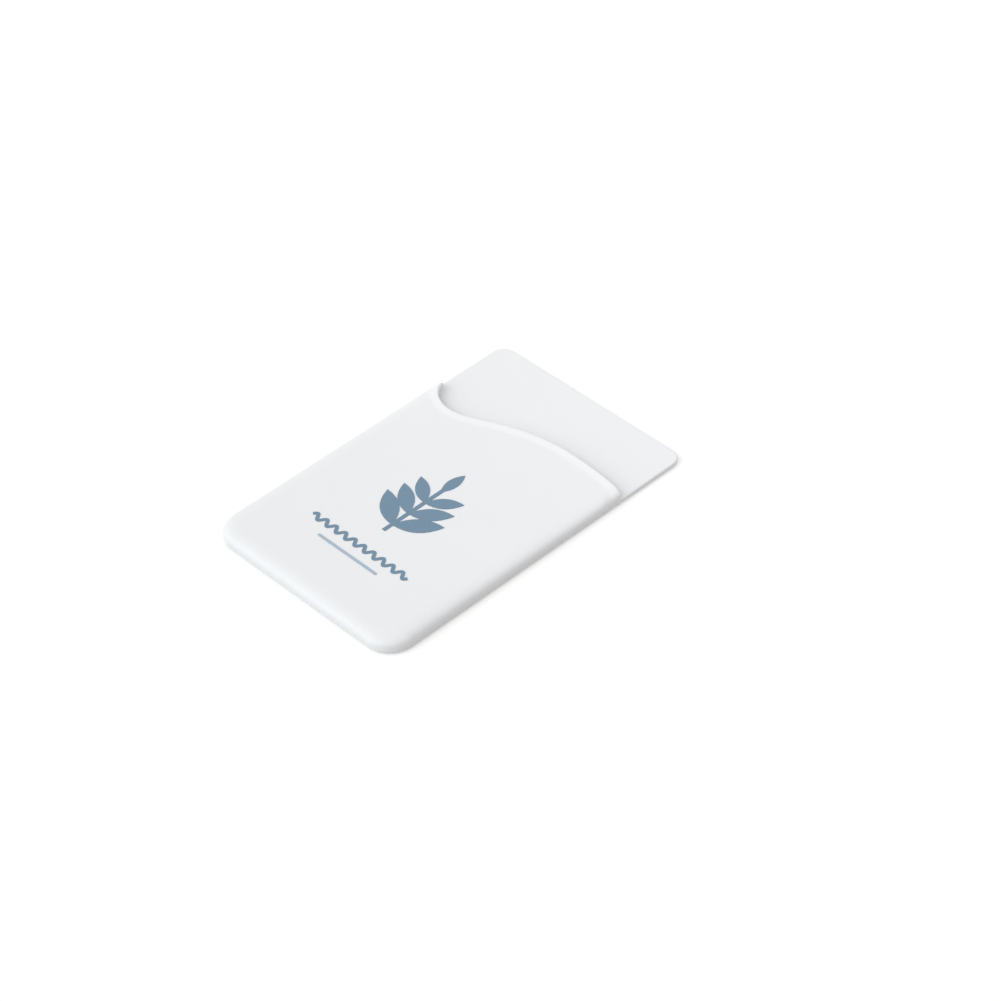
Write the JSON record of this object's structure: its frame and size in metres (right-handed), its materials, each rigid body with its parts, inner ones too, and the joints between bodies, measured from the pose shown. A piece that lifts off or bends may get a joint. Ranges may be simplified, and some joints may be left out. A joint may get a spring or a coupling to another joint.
{
  "type": "stick-on phone card holder",
  "caption": "Flat silicone card pocket with an S-shaped mouth, a raised lip and an adhesive back, made to be stuck to the back of a phone.",
  "frame": {"origin": "middle of the adhesive sheet's lower face, under the middle of the moulding", "axes": "+Z out of the front of the pocket, +Y from the closed end to the open end, +X across the pocket"},
  "size_m": [0.057, 0.087, 0.0035],
  "materials": {
    "silicone": "satin moulded silicone, white",
    "adhesive": "tacky translucent film",
    "ink": "matt screen-printed ink, slate blue",
    "pale_ink": "matt screen-printed ink, pale slate blue"
  },
  "bodies": {
    "root": {"silicone_sleeve": "silicone", "adhesive_sheet": "adhesive", "print_sprig": "ink", "print_wave_rule": "ink", "print_plain_rule": "pale_ink"}
  },
  "joints": []
}
